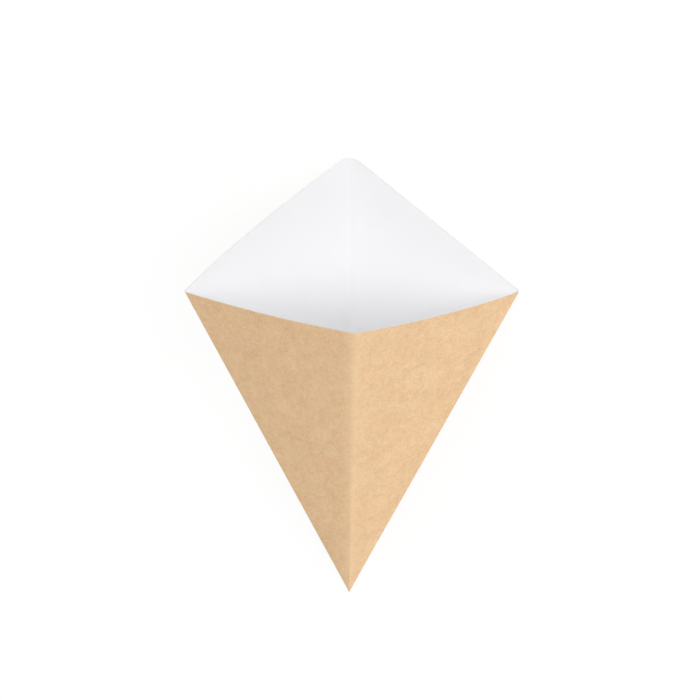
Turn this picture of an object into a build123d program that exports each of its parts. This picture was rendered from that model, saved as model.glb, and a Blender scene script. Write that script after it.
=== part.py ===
"""Cone paper cup: one die-cut sheet of board, creased, folded round and glued.

Four equal panels run from the tip to the mouth. They meet in two sharp side folds, a soft
crease down the front and another down the back. The front rim is cut straight across, and
the back rim rises to a rounded peak. A glue flap lies inside the right front panel.

The cup lies as it comes to rest, with its right back panel flat on the ground.
Millimetres, +Z up. On the cup's own plane, X points to its right side fold, Y to its back,
and Z from the tip to the mouth.
"""
import os
from math import acos, asin, cos, radians, sin, tan

from build123d import *

# The sheet
board = 0.5

# The panels: their flat angle at the tip, and how far each crease stands off the cup's axis
panel_angle = 30.0
crease_spread = 13.3
side_fold_length = 180.0

# How far the three loose panels bow outwards, as a share of their width
left_front_bow = 0.025
right_front_bow = 0.036
left_back_bow = 0.075

# Bending radii of the folds and creases on the section plane, just above the peak.
# They shrink evenly towards the tip.
side_fold_radius = 1.0
front_crease_radius = 12.0
back_crease_radius = 4.0

# The back rim's peak, from the tip along the back crease, before it is rounded
peak_length = 220.0
peak_radius = 9.8

# The glue flap: its ends' distances from the tip and from the mouth corner, and its width
flap_start = 30.0
flap_gap = 8.0
flap_width = 12.0
flap_slant = 8.0

# The side folds stand side_spread off the cup's axis, and every wall leans out by wall_lean
panel = radians(panel_angle)
spread = radians(crease_spread)
side_spread = acos(cos(panel) / cos(spread))
wall_lean = asin(sin(side_spread) * sin(spread) / sin(panel))

# The back crease lies along +Y on the ground, and the cup is rolled about it until its right
# back panel is flat on the ground
roll = acos(sin(side_spread) / sin(panel))
cup_plane = Plane(
    origin=(0, 0, 0),
    x_dir=(cos(roll), 0, -sin(roll)),
    z_dir=(sin(spread) * sin(roll), cos(spread), sin(spread) * cos(roll)),
)
side_view = Plane(cup_plane.origin, x_dir=cup_plane.y_dir, z_dir=cup_plane.x_dir)
front_view = Plane(cup_plane.origin, x_dir=cup_plane.x_dir, z_dir=-cup_plane.y_dir)

# The right front panel's plane has X along the side fold and Y across the panel
right_fold = cup_plane.from_local_coords(Vector(sin(side_spread), 0, cos(side_spread)))
front_crease = cup_plane.from_local_coords(Vector(0, -sin(spread), cos(spread)))
flap_plane = Plane(cup_plane.origin, x_dir=right_fold, z_dir=right_fold.cross(front_crease))

# Heights along the cup's axis, and the section's half width and half depth
corner_height = side_fold_length * cos(side_spread)
corner_reach = side_fold_length * sin(side_spread)
peak_height = peak_length * cos(spread)
section_height = 1.05 * peak_length
half_width = section_height * tan(side_spread)
half_depth = section_height * tan(spread)


def filled_cone(depth):
    """The space inside the sheet's outer face, with every wall moved in by depth."""
    left = (-half_width, 0)
    right = (half_width, 0)
    front = (0, -half_depth)
    back = (0, half_depth)
    panel_width = Vector(half_width, half_depth).length
    tip = cup_plane.offset(depth / sin(wall_lean)).origin
    with BuildPart() as cone:
        with BuildSketch(cup_plane.offset(section_height)) as outline:
            with BuildLine():
                SagittaArc(left, front, -left_front_bow * panel_width)
                SagittaArc(front, right, -right_front_bow * panel_width)
                Line(right, back)
                SagittaArc(back, left, -left_back_bow * panel_width)
            make_face()
            fillet(outline.vertices().sort_by(Axis.Y)[0], front_crease_radius)
            fillet(outline.vertices().sort_by(Axis.Y)[-1], back_crease_radius)
            fillet(outline.vertices().sort_by(Axis.X)[0], side_fold_radius)
            fillet(outline.vertices().sort_by(Axis.X)[-1], side_fold_radius)
            if depth > 0:
                offset(amount=-depth / cos(wall_lean), kind=Kind.INTERSECTION)
        loft([outline.sketch.face(), Vertex(tip)])
    return cone.part


outer_cone = filled_cone(0)
inner_cone = filled_cone(board)

# The room that the glue flap takes from the inside: one board's thickness along the right
# front panel, found by sliding the inside along the ground away from the right side fold
inward = Vector(0, 0, 1).cross(right_fold)
slide = inward * (-board / inward.dot(flap_plane.z_dir))
with BuildPart() as flap:
    with BuildSketch(flap_plane.offset(-4 * board)):
        flap_end = side_fold_length - flap_gap
        with BuildLine():
            Polyline(
                (flap_start, -board),
                (flap_start + flap_slant, flap_width),
                (flap_end - flap_slant, flap_width),
                (flap_end, -board),
                close=True,
            )
        make_face()
    extrude(amount=4 * board + right_front_bow * side_fold_length)
    with Locations(slide):
        add(inner_cone, mode=Mode.SUBTRACT)

with BuildPart() as inside:
    add(inner_cone)
    add(flap.part, mode=Mode.SUBTRACT)

with BuildPart() as folded_sheet:
    add(outer_cone)
    add(inside.part, mode=Mode.SUBTRACT)

    # The front rim lies square across the front crease and ends at the two mouth corners
    with BuildSketch(side_view):
        with BuildLine():
            Polyline(
                (0, corner_height),
                (-2 * half_depth, corner_height - 2 * half_depth * tan(spread)),
                (-2 * half_depth, 2 * section_height),
                (0, 2 * section_height),
                close=True,
            )
        make_face()
    extrude(amount=2 * half_width, both=True, mode=Mode.SUBTRACT)

    # The back rim rises from each mouth corner to the rounded peak
    with BuildSketch(front_view) as above_rim:
        rim_slope = (peak_height - corner_height) / corner_reach
        with BuildLine():
            Polyline(
                (0, peak_height),
                (2 * half_width, peak_height - 2 * half_width * rim_slope),
                (2 * half_width, 2 * section_height),
                (-2 * half_width, 2 * section_height),
                (-2 * half_width, peak_height - 2 * half_width * rim_slope),
                close=True,
            )
        make_face()
        fillet(above_rim.vertices().group_by(Axis.Y)[1], peak_radius)
    extrude(amount=-2 * half_depth, mode=Mode.SUBTRACT)

# The middle of the cup's box on the ground is the origin
footprint = folded_sheet.part.bounding_box().center()
with BuildPart() as paper_cone:
    with Locations((-footprint.X, -footprint.Y, 0)):
        add(folded_sheet.part)

paper_cone.part.label = "paper_cone"
os.makedirs("parts", exist_ok=True)
export_step(paper_cone.part, "parts/paper_cone.step")
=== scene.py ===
import math
import bpy
import numpy as np
from mathutils import Matrix


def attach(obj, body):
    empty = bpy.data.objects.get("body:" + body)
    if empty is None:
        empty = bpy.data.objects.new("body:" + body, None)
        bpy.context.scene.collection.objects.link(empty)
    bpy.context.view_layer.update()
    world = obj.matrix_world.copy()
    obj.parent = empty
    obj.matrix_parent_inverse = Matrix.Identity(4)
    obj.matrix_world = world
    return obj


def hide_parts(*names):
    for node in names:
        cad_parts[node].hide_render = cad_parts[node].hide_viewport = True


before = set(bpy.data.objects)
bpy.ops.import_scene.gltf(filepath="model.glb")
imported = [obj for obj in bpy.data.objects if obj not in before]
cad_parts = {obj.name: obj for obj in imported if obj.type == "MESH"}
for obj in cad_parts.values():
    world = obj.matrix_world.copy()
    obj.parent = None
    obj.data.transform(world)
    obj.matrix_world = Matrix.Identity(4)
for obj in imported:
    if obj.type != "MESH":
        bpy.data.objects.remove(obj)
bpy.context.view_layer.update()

# The paper cone. The real piece is one die-cut sheet of kraft board, brown outside and coated
# white inside, creased in three places, folded round and glued: the flap beyond its fourth
# fold lies inside the right front panel, whose raw edge comes out flush with that fold.
mm = 0.001
board = 0.5 * mm
glue_gap = 0.03 * mm
edge_round = 0.04 * mm
panel_angle = math.radians(30.0)
crease_spread = math.radians(13.3)
side_fold_length = 180.0 * mm
peak_length = 220.0 * mm
peak_radius = 9.8 * mm

# How far the walls bow outwards, as a share of their width: right back, left back, left front
# and right front. The right back one is flat, and its tiny share spares it a rule of its own.
# Then the bending radii at the right fold, the back crease, the left fold and the front crease,
# from a section just above the peak brought down to one unit above the tip.
wall_bows = (1e-6, 0.075, 0.025, 0.036)
section_height = 1.05 * peak_length
bend_radii = tuple(radius * mm / section_height for radius in (1.0, 4.0, 1.0, 12.0))
inner_bend = 0.05 * mm
seam_bend = 0.55 * mm

# The glue flap: where it starts and ends along its fold, how wide it is, how far its ends slant
flap_start = 30.0 * mm
flap_end = 172.0 * mm
flap_width = 12.0 * mm
flap_slant = 8.0 * mm

# The board's bends stand at full size from here up, and close to a point at the tip
tip_blend = 24.0 * mm

# How many points lie across each wall, across the bend that follows it, across the seam's bend
# and across the flap, how many up the sheet below, beside and above the flap, and how many
# lines of the right front panel are measured to unroll it
wall_counts = (40, 60, 56, 64)
bend_counts = (13, 9, 25, 0)
seam_count = 7
flap_count = 10
row_counts = (15, 49, 7)
unrolled_count = 400

side_spread = math.acos(math.cos(panel_angle) / math.cos(crease_spread))
wall_lean = math.asin(math.sin(side_spread) * math.sin(crease_spread) / math.sin(panel_angle))
inner_tip = np.array([0.0, 0.0, board / math.sin(wall_lean)])
corner_height = side_fold_length * math.cos(side_spread)
peak_height = peak_length * math.cos(crease_spread)
rim_slope = (peak_height - corner_height) / (side_fold_length * math.sin(side_spread))


def unit(vectors):
    """Each vector divided by its own length."""
    return vectors / np.linalg.norm(vectors, axis=-1, keepdims=True)


def wall_circle(start, end, bow):
    """The circle through two corners whose arc stands bow times their distance c outside the
    straight line between them. With s = bow * c, its radius is (c * c / 4 + s * s) / (2 * s)."""
    width = np.linalg.norm(end - start)
    rise = bow * width
    radius = (width * width / 4 + rise * rise) / (2 * rise)
    along = (end - start) / width
    outward = np.array([along[1], -along[0]])
    return (start + end) / 2 + outward * (rise - radius), radius


def bend_centre(before, after, radius, corner):
    """The centre of the arc of that radius which lies inside two wall circles and touches
    both. It stands (wall radius - radius) from each wall's centre, near their corner."""
    (p, p_radius), (q, q_radius) = before, after
    p_reach, q_reach = p_radius - radius, q_radius - radius
    gap = np.linalg.norm(q - p)
    x = (gap ** 2 + p_reach ** 2 - q_reach ** 2) / (2 * gap)
    y = math.sqrt(max(p_reach ** 2 - x ** 2, 0.0))
    along = (q - p) / gap
    across = np.array([-along[1], along[0]])
    choices = (p + along * x + across * y, p + along * x - across * y)
    return min(choices, key=lambda centre: np.linalg.norm(centre - corner))


def arc(centre, radius, first, last, shares):
    """Points centre + radius * n with their normals n, which turn from the direction of first
    to that of last, by the given shares of the angle between them."""
    start, end = (math.atan2(v[1], v[0]) for v in (first, last))
    turn = (end - start + math.pi) % (2 * math.pi) - math.pi
    angle = start + turn * shares
    normals = np.column_stack([np.cos(angle), np.sin(angle)])
    return centre + radius * normals, normals


def cone_normals(points, normals):
    """Outward normals of the cone from the tip over an outline one unit above it. The
    outline's own (nx, ny) gets a third part, -(x * nx + y * ny), which makes it square to the
    line from the tip."""
    third = -(points * normals).sum(axis=1)
    return unit(np.column_stack([normals, third]))


def rim_heights(points):
    """How high above the tip the line through each outline point meets the rim. The front rim
    is the plane z = corner height + y * tan(spread). The back rim is z = peak height - slope *
    |x|, rounded at its top by a circle in x and z."""
    x, y = np.abs(points[:, 0]), points[:, 1]
    front = corner_height / (1 - y * math.tan(crease_spread))
    back = peak_height / (1 + rim_slope * x)
    steep = math.sqrt(1 + rim_slope ** 2)
    centre = peak_height - peak_radius * steep
    inside = centre ** 2 - (1 + x * x) * (centre ** 2 - peak_radius ** 2)
    top = (centre + np.sqrt(np.maximum(inside, 0.0))) / (1 + x * x)
    back = np.where(back * x < peak_radius * rim_slope / steep, top, back)
    return np.where(y < 0, front, back)


def smooth(share):
    """0 below 0, 1 above 1, and 3 * t * t - 2 * t ** 3 between."""
    t = np.clip(share, 0.0, 1.0)
    return t * t * (3 - 2 * t)


def bunched(count):
    """Shares from 0 to 1 that lie closer together towards both ends: (1 - cos(pi * i)) / 2."""
    return (1 - np.cos(np.linspace(0, math.pi, count))) / 2


# The outline one unit above the tip, round from the right fold: X right, Y back
half_width, half_depth = math.tan(side_spread), math.tan(crease_spread)
corners = np.array([(half_width, 0), (0, half_depth), (-half_width, 0), (0, -half_depth)])
walls = [wall_circle(corners[k], corners[(k + 1) % 4], wall_bows[k]) for k in range(4)]
bends = [bend_centre(walls[k - 1], walls[k], bend_radii[k], corners[k]) for k in range(4)]
wall_ends = [(bends[k] - walls[k][0], bends[(k + 1) % 4] - walls[k][0]) for k in range(4)]

# The right front panel's raw edge stands where the side fold reaches furthest out
edge_reach = bends[0][0] + bend_radii[0] - edge_round / corner_height
edge_cosine = (edge_reach - walls[3][0][0]) / walls[3][1]
raw_edge = np.array([edge_cosine, -math.sqrt(1 - edge_cosine ** 2)])

# The seam at the right fold: the line where the outer faces of its two panels meet, the
# directions from it into each panel, and the bend that touches the back panel's outer face
# and lies one board inside the front panel's. Near the tip, where the seam's line and the fold
# come apart, the raw edge keeps edge_clearance from that line, so that it stays off the ground.
front_normal = cone_normals(*arc(*walls[3], raw_edge, raw_edge, np.zeros(1)))[0]
back_normal = cone_normals(*arc(*walls[0], wall_ends[0][0], wall_ends[0][0], np.zeros(1)))[0]
seam = unit(np.cross(front_normal, back_normal))
seam = seam * np.sign(seam[2])
into_front = np.cross(seam, front_normal)
into_front = -into_front * np.sign(into_front[0])
into_back = np.cross(seam, back_normal)
into_back = -into_back * np.sign(into_back[0])
flap_depth = board + glue_gap
bend_in = flap_depth + seam_bend
bend_along = (seam_bend - bend_in * (front_normal @ back_normal)) / -(into_front @ back_normal)
bend_middle = bend_along * into_front - bend_in * front_normal
outermost = unit(front_normal + back_normal)
edge_clearance = flap_depth * (front_normal @ back_normal) / (into_front @ back_normal)
edge_clearance = edge_clearance + edge_round


def seam_bend_offsets(last, shares):
    """Offsets from the seam line, and normals, of a bend that turns from its outermost point
    towards the normal last: middle + radius * n, with n turned evenly between the two."""
    angle = math.acos(outermost @ last) * shares[:, None]
    side = unit(last - outermost * (outermost @ last))
    normals = np.cos(angle) * outermost + np.sin(angle) * side
    return bend_middle + seam_bend * normals, normals


bend_offsets, bend_normals = seam_bend_offsets(back_normal, np.linspace(0, 1, seam_count))
back_touch = bend_offsets[-1] @ into_back
bend_tops = peak_height - rim_slope * bend_offsets[:, 0] - bend_offsets[:, 2]
bend_tops = bend_tops / (seam[2] + rim_slope * seam[0]) - edge_round

# The outline's stations, wall by wall and bend by bend, each with its radius and the way to
# the inner corner, for the few millimetres where a bend is sharper than the board is thick.
# A wall counts as a very wide bend.
flat_bend = 1e6
seam_top = bend_tops[-1] * seam + bend_offsets[-1]
wall_ends[0] = (seam_top[:2] / seam_top[2] - walls[0][0], wall_ends[0][1])
wall_ends[3] = (wall_ends[3][0], raw_edge)
stretches = []
for k, (wall_count, bend_count) in enumerate(zip(wall_counts, bend_counts)):
    points, normals = arc(*walls[k], *wall_ends[k], bunched(wall_count))
    stretches.append((points, normals, flat_bend, np.zeros(3)))
    if bend_count:
        before, after = wall_ends[k][1], bends[k + 1] - walls[k + 1][0]
        shares = np.linspace(0, 1, bend_count + 2)[1:-1]
        points, normals = arc(bends[k + 1], bend_radii[k + 1], before, after, shares)
        both = cone_normals(*arc(bends[k + 1], bend_radii[k + 1], before, after, np.array([0, 1])))
        both = both.sum(axis=0)
        stretches.append((points, normals, bend_radii[k + 1], 2 * both / (both @ both)))
stretch_lengths = [len(points) for points, _, _, _ in stretches]
stretch_starts = np.cumsum([len(bend_offsets) - 1] + stretch_lengths)
score_stations = [stretch_starts[k] + stretch_lengths[k] // 2 for k in (1, 3, 5)]
outline = np.concatenate([points for points, _, _, _ in stretches])
outline_normals = np.concatenate([normals for _, normals, _, _ in stretches])
outline_normals = cone_normals(outline, outline_normals)
outline_radii = np.concatenate([np.full(len(p), radius) for p, _, radius, _ in stretches])
inner_ways = np.concatenate([np.tile(way, (len(p), 1)) for p, _, _, way in stretches])
outline_tops = rim_heights(outline) - edge_round

# The rows run from the tip to the rim, with one at each end of the flap
low, high = flap_start / bend_tops[0], flap_end / bend_tops[0]
rows = np.concatenate([
    np.linspace(0, low, row_counts[0])[:-1],
    np.linspace(low, high, row_counts[1])[:-1],
    np.linspace(high, 1, row_counts[2]),
])
first_row = row_counts[0] - 1
last_row = first_row + row_counts[1] - 1
flap_rows = slice(first_row, last_row + 1)


def wall_sheet():
    """The four panels' outer face, over (row t, station). A station's line is t * rim point.
    Along the seam the lines run beside the fold instead, seam line + offset. On the flat back
    panel that shift fades out towards the back crease, and on the front panel, whose raw edge
    keeps clear of the ground, it fades out with the fourth power."""
    along = rows[:, None, None] * bend_tops[:, None] * seam
    bend = along + smooth(rows[:, None, None] * bend_tops[:, None] / tip_blend) * bend_offsets
    rim = np.column_stack([outline, np.ones(len(outline))]) * outline_tops[:, None]
    opened = smooth(rows * bend_tops[-1] / tip_blend)
    back_fade, front_fade = np.zeros(len(outline)), np.zeros(len(outline))
    back_fade[:wall_counts[0]] = 1 - bunched(wall_counts[0])
    front_fade[-wall_counts[3]:] = bunched(wall_counts[3]) ** 4
    edge_top = rim[-1] @ into_front
    back_shift = (opened - rows) * back_touch
    front_shift = np.maximum(opened * edge_clearance - rows * edge_top, 0.0)
    panels = (
        rows[:, None, None] * rim
        + back_shift[:, None, None] * back_fade[:, None] * into_back
        + front_shift[:, None, None] * front_fade[:, None] * into_front
    )
    return np.concatenate([bend[:, :-1], panels], axis=1)


def thickness(points, normals, radii, ways):
    """The way through the board from its outer face: -k * n - (board - k) * way, where k is
    the board's thickness, or less where a bend is sharper than that, and way leads to the
    inner corner. Near the tip it turns towards the tip of the inside."""
    radius = radii * points[..., 2]
    depth = np.minimum(np.maximum(radius - inner_bend, radius / 2), board)[..., None]
    through = -depth * normals - (board - depth) * ways
    full = smooth(np.linalg.norm(points, axis=-1) / tip_blend)[..., None]
    return full * through + (1 - full) * inner_tip


outer = wall_sheet()
sheet_normals = np.concatenate([bend_normals[:-1], outline_normals])
sheet_radii = np.concatenate([np.full(len(bend_normals) - 1, flat_bend), outline_radii])
sheet_ways = np.concatenate([np.zeros((len(bend_normals) - 1, 3)), inner_ways])
inner = outer + thickness(outer, sheet_normals, sheet_radii, sheet_ways)

# The flap goes on from the seam's bend and follows the right front panel's inner face. The
# panel is unrolled from the seam: each of its lines has an angle from the seam line.
panel_start, panel_end = corners[0] - walls[3][0], wall_ends[3][0]
panel_shares = np.linspace(0, 1, unrolled_count)
panel_lines, panel_normals = arc(*walls[3], panel_start, panel_end, panel_shares)
panel_normals = cone_normals(panel_lines, panel_normals)
panel_lines = unit(np.column_stack([panel_lines, np.ones(len(panel_lines))]))
steps = np.linalg.norm(np.diff(panel_lines, axis=0), axis=1)
panel_angles = np.concatenate([[0.0], np.cumsum(2 * np.arcsin(steps / 2))])
turned_shares = np.linspace(0, 1, seam_count)[1:]
turned_offsets, turned_normals = seam_bend_offsets(front_normal, turned_shares)
flap_across = np.linspace(bend_along, flap_width, flap_count)[1:]


def flap_sheet():
    """The flap's outer face, over (row, station), and its normals. The rows run from its lower
    to its upper end, which close in by the slant as the station moves out. A point at s along
    and q across the unrolled panel lies hypot(s, q) from the tip on the line at atan(q / s)."""
    s = rows[flap_rows] * bend_tops[0]
    bend = s[:, None, None] * seam + turned_offsets
    inward = flap_slant * (flap_across - bend_along) / (flap_width - bend_along)
    share = (s[:, None] - s[0]) / (s[-1] - s[0])
    s = s[:, None] + inward * (1 - 2 * share)
    angle = np.arctan2(flap_across, s)
    lines, normals = (
        np.stack([np.interp(angle, panel_angles, part[:, axis]) for axis in range(3)], axis=-1)
        for part in (panel_lines, panel_normals)
    )
    lines, normals = unit(lines), unit(normals)
    flat = np.hypot(s, flap_across)[..., None] * lines - flap_depth * normals
    turned = np.broadcast_to(turned_normals, bend.shape)
    return np.concatenate([bend, flat], axis=1), np.concatenate([turned, normals], axis=1)


flap_outer, flap_normals = flap_sheet()
flap_inner = flap_outer - board * flap_normals


def blank_place(points, stations):
    """Each point's place on the flat blank, in metres: its distance from the tip, and its
    angle, which adds up the angles between one line from the tip and the next."""
    lines = unit(stations)
    steps = 2 * np.arcsin(np.linalg.norm(np.diff(lines, axis=0), axis=1) / 2)
    angle = np.concatenate([[0.0], np.cumsum(steps)]) - 2 * panel_angle
    distance = np.linalg.norm(points, axis=-1)
    return np.stack([distance * np.sin(angle), distance * np.cos(angle)], axis=-1)


sheet_flat = blank_place(outer, outer[-1])


def middle_angle(station):
    """The angle on the flat blank of the line at that station."""
    return math.atan2(*sheet_flat[-1, station])


flap_along = flap_outer @ seam
flap_side = turned_shares * seam_bend * math.acos(outermost @ front_normal)
flap_side = np.concatenate([flap_side, flap_across])
seam_way = np.array([-math.sin(2 * panel_angle), math.cos(2 * panel_angle)])
side_way = np.array([-math.cos(2 * panel_angle), -math.sin(2 * panel_angle)])
flap_flat = flap_along[..., None] * seam_way + flap_side[:, None] * side_way


def grid_faces(numbers):
    """The quads (i, j), (i, j + 1), (i + 1, j + 1), (i + 1, j) of a grid of vertex numbers."""
    a, b, c, d = numbers[:-1, :-1], numbers[:-1, 1:], numbers[1:, 1:], numbers[1:, :-1]
    return np.stack([a, b, c, d], axis=-1).reshape(-1, 4)


def numbered(shape, first):
    """A grid of vertex numbers that starts at first, and the number after its last."""
    count = int(np.prod(shape))
    return first + np.arange(count).reshape(shape), first + count


# Vertex numbers: the tip, the inside's tip, then the sheet's and the flap's two faces
row_count, station_count = outer.shape[:2]
sheet_shape, flap_shape = (row_count - 1, station_count), flap_outer.shape[:2]
outer_numbers, after = numbered(sheet_shape, 2)
inner_numbers, after = numbered(sheet_shape, after)
flap_outer_numbers, after = numbered(flap_shape, after)
flap_inner_numbers, after = numbered(flap_shape, after)
outer_numbers = np.concatenate([np.full((1, station_count), 0), outer_numbers])
inner_numbers = np.concatenate([np.full((1, station_count), 1), inner_numbers])
places = np.concatenate([
    np.stack([outer[0, 0], inner_tip]),
    outer[1:].reshape(-1, 3), inner[1:].reshape(-1, 3),
    flap_outer.reshape(-1, 3), flap_inner.reshape(-1, 3),
])
flat_places = np.concatenate([
    np.zeros((2, 2)),
    sheet_flat[1:].reshape(-1, 2), sheet_flat[1:].reshape(-1, 2),
    flap_flat.reshape(-1, 2), flap_flat.reshape(-1, 2),
])


def border(sheet, flap):
    """The vertex numbers once round the sheet's edge: up the seam, round the flap, up to the
    rim, along the rim, and down the front panel's raw edge to the tip."""
    return np.concatenate([
        sheet[:first_row + 1, 0], flap[0], flap[1:, -1], flap[-1, -2::-1],
        sheet[last_row:, 0], sheet[-1, 1:], sheet[-2:0:-1, -1],
    ])


# The cut edge: square across, with its two corners rounded over a little, each of them within
# a small share of the board's thickness
corner_depths = (0.12, 0.88)
outer_border = border(outer_numbers, flap_outer_numbers)
inner_border = border(inner_numbers, flap_inner_numbers)
through = places[inner_border] - places[outer_border]
ahead = np.roll(places[outer_border], -1, axis=0) - np.roll(places[outer_border], 1, axis=0)
outwards = unit(np.cross(ahead, through)) * edge_round
outwards[0] = 0
cut_loops = [outer_border]
for depth in corner_depths:
    numbers, after = numbered(len(outer_border), after)
    places = np.concatenate([places, places[outer_border] + depth * through + outwards])
    flat_places = np.concatenate([flat_places, flat_places[outer_border]])
    cut_loops.append(numbers)
cut_loops.append(inner_border)
cut_loops = np.stack([np.append(loop, loop[0]) for loop in cut_loops])

# All faces, the flap's from the seam's bend on, and the number of each one's finish: brown,
# white, then the cut edge
flap_outer_grid = np.concatenate([outer_numbers[flap_rows, :1], flap_outer_numbers], axis=1)
flap_inner_grid = np.concatenate([inner_numbers[flap_rows, :1], flap_inner_numbers], axis=1)
brown_faces = np.concatenate([grid_faces(outer_numbers), grid_faces(flap_outer_grid[:, ::-1])])
white_faces = np.concatenate([grid_faces(inner_numbers[:, ::-1]), grid_faces(flap_inner_grid)])
cut_faces = grid_faces(cut_loops)
faces = np.concatenate([brown_faces, white_faces, cut_faces])
finish_numbers = np.repeat([0, 1, 2], [len(brown_faces), len(white_faces), len(cut_faces)])

# From the cup's own axes to where it lies: its right back panel flat on the ground, with the
# tip where the CAD solid has it, its lowest point along Y
roll = math.acos(math.sin(side_spread) / math.sin(panel_angle))
cup_right = np.array([math.cos(roll), 0.0, -math.sin(roll)])
cup_up = np.array([
    math.sin(crease_spread) * math.sin(roll), math.cos(crease_spread),
    math.sin(crease_spread) * math.cos(roll),
])
cup_axes = np.stack([cup_right, np.cross(cup_up, cup_right), cup_up])
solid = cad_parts["paper_cone"].data.vertices
solid_points = np.empty(len(solid) * 3)
solid.foreach_get("co", solid_points)
solid_points = solid_points.reshape(-1, 3)
tip = solid_points[solid_points[:, 1].argmin()]

mesh = bpy.data.meshes.new("paper_cone_sheet")
loops = [tuple(dict.fromkeys(face)) for face in faces.tolist()]
mesh.from_pydata((places @ cup_axes + tip).tolist(), [], loops)
mesh.polygons.foreach_set("material_index", finish_numbers.astype(np.int32))
mesh.polygons.foreach_set("use_smooth", np.ones(len(loops), dtype=bool))
corner_vertices = np.empty(len(mesh.loops), dtype=np.int32)
mesh.loops.foreach_get("vertex_index", corner_vertices)
flat_map = mesh.uv_layers.new(name="flat_blank")
flat_map.uv.foreach_set("vector", flat_places[corner_vertices].ravel())

# Where colour is laid along the creases: each vertex's distance from the nearest crease, straight
# across the flat blank, with that crease's own half width as 1. The right fold, back crease and
# left fold are narrow pressed score lines. The soft front crease is a wide band, which on the
# kraft is a painted highlight that stands in for the light on its rounded bend, and on the white
# face painted shade.
score_and_shading_widths = (0.6 * mm, 1.0 * mm, 0.6 * mm, 6.5 * mm)
score_angles = [middle_angle(station) for station in (0, *score_stations)]
across = [
    np.abs(flat_places[:, 0] * math.cos(angle) - flat_places[:, 1] * math.sin(angle)) / width
    for angle, width in zip(score_angles, score_and_shading_widths)
]
score_and_shading_distance = mesh.attributes.new("score_and_shading_distance", "FLOAT", "POINT")
score_and_shading_distance.data.foreach_set("value", np.min(across, axis=0).astype(np.float32))

# Edges between a face of the board and its cut edge stay crisp
edge_ends = np.empty(len(mesh.edges) * 2, dtype=np.int32)
mesh.edges.foreach_get("vertices", edge_ends)
edge_ends = np.sort(edge_ends.reshape(-1, 2), axis=1)
crisp = np.concatenate([np.column_stack([loop[:-1], loop[1:]]) for loop in cut_loops[[0, 3]]])
crisp = np.sort(crisp, axis=1)
span = len(places)
is_crisp = np.isin(edge_ends @ [span, 1], crisp @ [span, 1])
mesh.attributes.new("sharp_edge", "BOOLEAN", "EDGE").data.foreach_set("value", is_crisp)

cone = bpy.data.objects.new("paper_cone_sheet", mesh)
bpy.context.collection.objects.link(cone)
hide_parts("paper_cone")
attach(cone, "root")


# The board's finishes. Its brown face is an unbleached kraft liner, matte, with a fine mottle
# and short fibres. Its inner face is coated white, and its cut edge shows the greyer core.
# All three are laid out on the flat blank, so the grain runs on over the folds.


def add_nodes(tree, **kinds):
    """One new node of each kind in the tree, by name."""
    return {name: tree.nodes.new(kind) for name, kind in kinds.items()}


def set_values(node, **values):
    """Sets the node's unlinked inputs, named with _ for a space."""
    for name, value in values.items():
        node.inputs[name.replace("_", " ")].default_value = value


def make_group(name, inputs, outputs):
    """A new shader node group with the named inputs and outputs, and its two end nodes."""
    group = bpy.data.node_groups.new(name, "ShaderNodeTree")
    for direction, sockets in (("INPUT", inputs), ("OUTPUT", outputs)):
        for socket, kind in sockets.items():
            group.interface.new_socket(name=socket, in_out=direction, socket_type=kind)
    return group, group.nodes.new("NodeGroupInput"), group.nodes.new("NodeGroupOutput")


def make_fibre_group():
    """Paper's cloudy mottle and its short fibres. Tone is 0.5 plus each noise's own distance
    from 0.5 times its weight. Hue is a soft noise of its own, and Height is the fibres alone.
    The starts are the places in the noise where the flat blank's tip lies."""
    grain_start, hue_start = (0.91, 3.43, 0.0), (4.2, 0.3, 0.0)
    group, given, made = make_group(
        "paper_fibres",
        {"Place": "NodeSocketVector", "Cloud Weight": "NodeSocketFloat",
         "Mottle Weight": "NodeSocketFloat", "Fibre Weight": "NodeSocketFloat"},
        {"Tone": "NodeSocketFloat", "Hue": "NodeSocketFloat", "Height": "NodeSocketFloat"},
    )
    link = group.links.new
    last = None
    for name, scale, detail, stretch, turn in (
        ("Cloud", 55.0, 2.0, (1.0, 1.0, 1.0), 0.0),
        ("Mottle", 330.0, 1.0, (1.0, 0.95, 1.0), 0.2),
        ("Fibre", 1200.0, 0.0, (1.0, 0.7, 1.0), 0.4),
    ):
        nodes = add_nodes(
            group, place="ShaderNodeMapping", noise="ShaderNodeTexNoise",
            centre="ShaderNodeMath", weigh="ShaderNodeMath",
        )
        set_values(
            nodes["place"], Location=grain_start, Rotation=(0.0, 0.0, turn), Scale=stretch,
        )
        set_values(nodes["noise"], Scale=scale, Detail=detail, Roughness=1.0)
        nodes["centre"].operation = "SUBTRACT"
        nodes["centre"].inputs[1].default_value = 0.5
        nodes["weigh"].operation = "MULTIPLY_ADD"
        link(given.outputs["Place"], nodes["place"].inputs["Vector"])
        link(nodes["place"].outputs["Vector"], nodes["noise"].inputs["Vector"])
        link(nodes["noise"].outputs["Fac"], nodes["centre"].inputs[0])
        link(nodes["centre"].outputs["Value"], nodes["weigh"].inputs[0])
        link(given.outputs[f"{name} Weight"], nodes["weigh"].inputs[1])
        if last is None:
            nodes["weigh"].inputs[2].default_value = 0.5
        else:
            link(last, nodes["weigh"].inputs[2])
        last = nodes["weigh"].outputs["Value"]
    link(last, made.inputs["Tone"])
    link(nodes["noise"].outputs["Fac"], made.inputs["Height"])
    hue = add_nodes(group, place="ShaderNodeMapping", noise="ShaderNodeTexNoise")
    set_values(hue["place"], Location=hue_start)
    set_values(hue["noise"], Scale=80.0, Detail=2.0, Roughness=1.0)
    link(given.outputs["Place"], hue["place"].inputs["Vector"])
    link(hue["place"].outputs["Vector"], hue["noise"].inputs["Vector"])
    link(hue["noise"].outputs["Fac"], made.inputs["Hue"])
    return group


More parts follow.
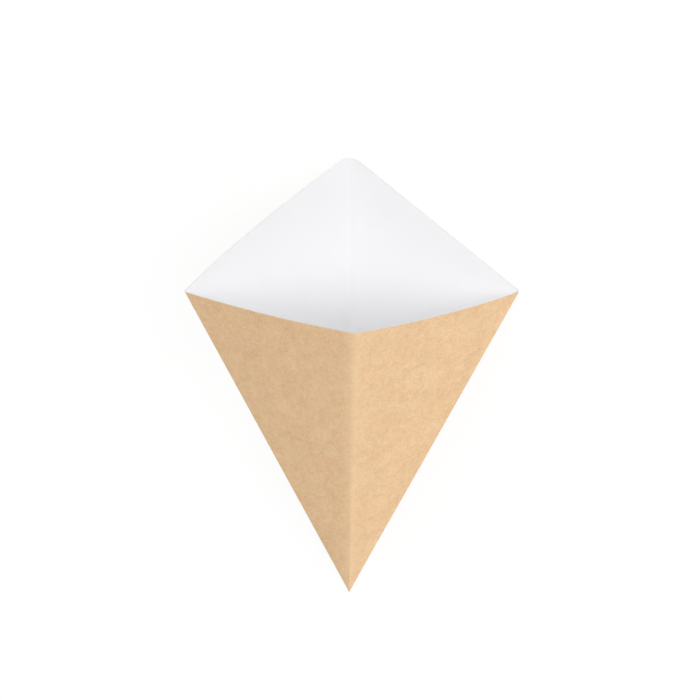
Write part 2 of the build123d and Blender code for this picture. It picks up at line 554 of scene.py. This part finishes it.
def board_finish(name, dark, light, hue, score_and_shading, weights, score_and_shading_share, bump, **surface):
    """A finish of the board: dark to light by the fibres' tone, with its green up to the share
    hue weaker or stronger, turned to the crease colour by its share on a crease and smoothly
    less beside it, and with bump metres of fibre relief. The crease colour is partly a pressed
    score and partly painted light and shade."""
    material = bpy.data.materials.new(name)
    material.use_nodes = True
    tree, link = material.node_tree, material.node_tree.links.new
    nodes = add_nodes(
        tree, flat="ShaderNodeUVMap", gap="ShaderNodeAttribute", fibres="ShaderNodeGroup",
        tone="ShaderNodeMix", tint="ShaderNodeMix", tinted="ShaderNodeMix",
        press="ShaderNodeMapRange", line="ShaderNodeMix", relief="ShaderNodeBump",
    )
    shader = tree.nodes["Principled BSDF"]
    nodes["flat"].uv_map = "flat_blank"
    nodes["gap"].attribute_name = "score_and_shading_distance"
    nodes["fibres"].node_tree = fibre_group
    set_values(nodes["fibres"], **weights)
    nodes["press"].interpolation_type = "SMOOTHSTEP"
    set_values(nodes["press"], To_Min=score_and_shading_share, To_Max=0.0)
    for mix in (nodes["tone"], nodes["tint"], nodes["tinted"], nodes["line"]):
        mix.data_type = "RGBA"
    nodes["tinted"].blend_type = "MULTIPLY"
    nodes["tinted"].inputs["Factor"].default_value = 1.0
    nodes["tone"].inputs["A"].default_value = (*dark, 1)
    nodes["tone"].inputs["B"].default_value = (*light, 1)
    nodes["tint"].inputs["A"].default_value = (1, 1 - hue, 1, 1)
    nodes["tint"].inputs["B"].default_value = (1, 1 + hue, 1, 1)
    nodes["line"].inputs["B"].default_value = (*score_and_shading, 1)
    set_values(nodes["relief"], Strength=1.0, Distance=bump)
    link(nodes["flat"].outputs["UV"], nodes["fibres"].inputs["Place"])
    link(nodes["gap"].outputs["Fac"], nodes["press"].inputs["Value"])
    link(nodes["fibres"].outputs["Tone"], nodes["tone"].inputs["Factor"])
    link(nodes["press"].outputs["Result"], nodes["line"].inputs["Factor"])
    link(nodes["fibres"].outputs["Hue"], nodes["tint"].inputs["Factor"])
    link(nodes["tone"].outputs["Result"], nodes["tinted"].inputs["A"])
    link(nodes["tint"].outputs["Result"], nodes["tinted"].inputs["B"])
    link(nodes["tinted"].outputs["Result"], nodes["line"].inputs["A"])
    link(nodes["line"].outputs["Result"], shader.inputs["Base Color"])
    link(nodes["fibres"].outputs["Height"], nodes["relief"].inputs["Height"])
    link(nodes["relief"].outputs["Normal"], shader.inputs["Normal"])
    set_values(shader, **surface)
    return material


fibre_group = make_fibre_group()
# The kraft is lighter along its creases: narrow pressed score lines on the three sharp folds, and
# on the soft front crease a wide band of painted highlight for the light on its rounded bend.
kraft = board_finish(
    "kraft_face", dark=(0.748, 0.471, 0.261), light=(0.917, 0.662, 0.4), hue=0.09,
    score_and_shading=(0.925, 0.67, 0.395),
    weights=dict(Cloud_Weight=0.93, Mottle_Weight=0.82, Fibre_Weight=0.6),
    score_and_shading_share=0.35, bump=0.01 * mm, Roughness=0.85, Specular_IOR_Level=0.25,
)
# The white face is a shade darker along its creases: painted shade in the folds of the inside.
white = board_finish(
    "white_face", dark=(0.883, 0.883, 0.894), light=(0.933, 0.933, 0.944), hue=0.0,
    score_and_shading=(0.8, 0.8, 0.81),
    weights=dict(Cloud_Weight=0.2, Mottle_Weight=0.2, Fibre_Weight=0.1),
    score_and_shading_share=0.06, bump=0.004 * mm, Roughness=0.55, Specular_IOR_Level=0.35,
)
core = board_finish(
    "cut_edge", dark=(0.656, 0.632, 0.585), light=(0.728, 0.706, 0.659), hue=0.0,
    score_and_shading=(0.692, 0.669, 0.622),
    weights=dict(Cloud_Weight=0.3, Mottle_Weight=0.9, Fibre_Weight=0.8),
    score_and_shading_share=0.0, bump=0.02 * mm, Roughness=0.9, Specular_IOR_Level=0.2,
)
for finish in (kraft, white, core):
    mesh.materials.append(finish)

# The floor: a plain pale sheet under the cup. The camera sees it white, with the cup's soft
# shadow, and the cup itself is lit by it as by any pale table.
floor_reach = 4.0
floor_mesh = bpy.data.meshes.new("floor")
floor_mesh.from_pydata(
    [(x * floor_reach, y * floor_reach, 0.0) for x, y in ((-1, -1), (1, -1), (1, 1), (-1, 1))],
    [], [(0, 1, 2, 3)],
)
floor = bpy.data.objects.new("floor", floor_mesh)
bpy.context.collection.objects.link(floor)
pale = bpy.data.materials.new("pale_floor")
pale.use_nodes = True
pale.node_tree.nodes.clear()
nodes = add_nodes(
    pale.node_tree, path="ShaderNodeLightPath", table="ShaderNodeBsdfDiffuse",
    shade="ShaderNodeBsdfDiffuse", glow="ShaderNodeEmission", seen="ShaderNodeAddShader",
    pick="ShaderNodeMixShader", out="ShaderNodeOutputMaterial",
)
set_values(nodes["table"], Color=(0.8, 0.8, 0.8, 1))
set_values(nodes["shade"], Color=(0.15, 0.15, 0.15, 1))
set_values(nodes["glow"], Color=(0.87, 0.87, 0.87, 1), Strength=1.0)
link = pale.node_tree.links.new
link(nodes["shade"].outputs[0], nodes["seen"].inputs[0])
link(nodes["glow"].outputs[0], nodes["seen"].inputs[1])
link(nodes["path"].outputs["Is Camera Ray"], nodes["pick"].inputs[0])
link(nodes["table"].outputs[0], nodes["pick"].inputs[1])
link(nodes["seen"].outputs[0], nodes["pick"].inputs[2])
link(nodes["pick"].outputs[0], nodes["out"].inputs["Surface"])
floor_mesh.materials.append(pale)

# The light: six wide soft lamps round the cup, in a pale room. Each has its side, in degrees
# from the front towards the right, its height above the floor in degrees, and its strength on a
# surface that faces it.
lamp_width = math.radians(40.0)
for name, side, height, strength in (
    ("front_lamp", 30.0, 15.0, 0.318),
    ("right_lamp", 90.0, 15.0, 0.202),
    ("right_top_lamp", 90.0, 55.0, 0.277),
    ("back_lamp", 120.0, 15.0, 0.147),
    ("mouth_lamp", 195.0, 30.0, 0.470),
    ("left_top_lamp", 270.0, 55.0, 0.246),
):
    lamp_data = bpy.data.lights.new(name, "SUN")
    lamp_data.angle = lamp_width
    lamp_data.energy = strength * math.pi
    lamp = bpy.data.objects.new(name, lamp_data)
    lamp.rotation_euler = (math.radians(90.0 - height), 0.0, math.radians(side))
    bpy.context.collection.objects.link(lamp)

room = bpy.data.worlds.new("pale_room")
room.use_nodes = True
room.node_tree.nodes.clear()
nodes = add_nodes(
    room.node_tree, path="ShaderNodeLightPath", fill="ShaderNodeBackground",
    white="ShaderNodeBackground", glossy="ShaderNodeMath", clear="ShaderNodeMath",
    pick="ShaderNodeMixShader", out="ShaderNodeOutputWorld",
)
set_values(nodes["fill"], Color=(1, 1, 1, 1), Strength=0.1)
set_values(nodes["white"], Color=(1, 1, 1, 1), Strength=1.0)
nodes["glossy"].operation = nodes["clear"].operation = "MAXIMUM"
link = room.node_tree.links.new
link(nodes["path"].outputs["Is Camera Ray"], nodes["glossy"].inputs[0])
link(nodes["path"].outputs["Is Glossy Ray"], nodes["glossy"].inputs[1])
link(nodes["glossy"].outputs[0], nodes["clear"].inputs[0])
link(nodes["path"].outputs["Is Transmission Ray"], nodes["clear"].inputs[1])
link(nodes["clear"].outputs[0], nodes["pick"].inputs[0])
link(nodes["fill"].outputs[0], nodes["pick"].inputs[1])
link(nodes["white"].outputs[0], nodes["pick"].inputs[2])
link(nodes["pick"].outputs[0], nodes["out"].inputs["Surface"])
bpy.context.scene.world = room

# The camera looks at the cup's front and a little into its mouth. Its three angles, and the
# point that it looks at, are measured on the cup's own axes.
camera_height, camera_turn, camera_roll = (math.radians(v) for v in (20.67233, 1.89227, 0.597))
aim = np.array([-0.63, 6.5256, 127.2177]) * mm
distance = 2.0
towards = np.array([
    -math.sin(camera_turn) * math.cos(camera_height),
    -math.cos(camera_turn) * math.cos(camera_height),
    math.sin(camera_height),
])
right = np.array([math.cos(camera_turn), -math.sin(camera_turn), 0.0])
up = np.cross(towards, right)
turned = math.cos(camera_roll) * right + math.sin(camera_roll) * up
up = np.cross(towards, turned)
camera_data = bpy.data.cameras.new("camera")
camera_data.sensor_width = 36.0
camera_data.lens = 209.2
camera = bpy.data.objects.new("camera", camera_data)
place = np.eye(4)
place[:3, :3] = (np.stack([turned, up, towards]) @ cup_axes).T
place[:3, 3] = (aim + distance * towards) @ cup_axes + tip
camera.matrix_world = Matrix(place.tolist())
bpy.context.collection.objects.link(camera)
bpy.context.scene.camera = camera
bpy.context.scene.view_settings.view_transform = "Standard"
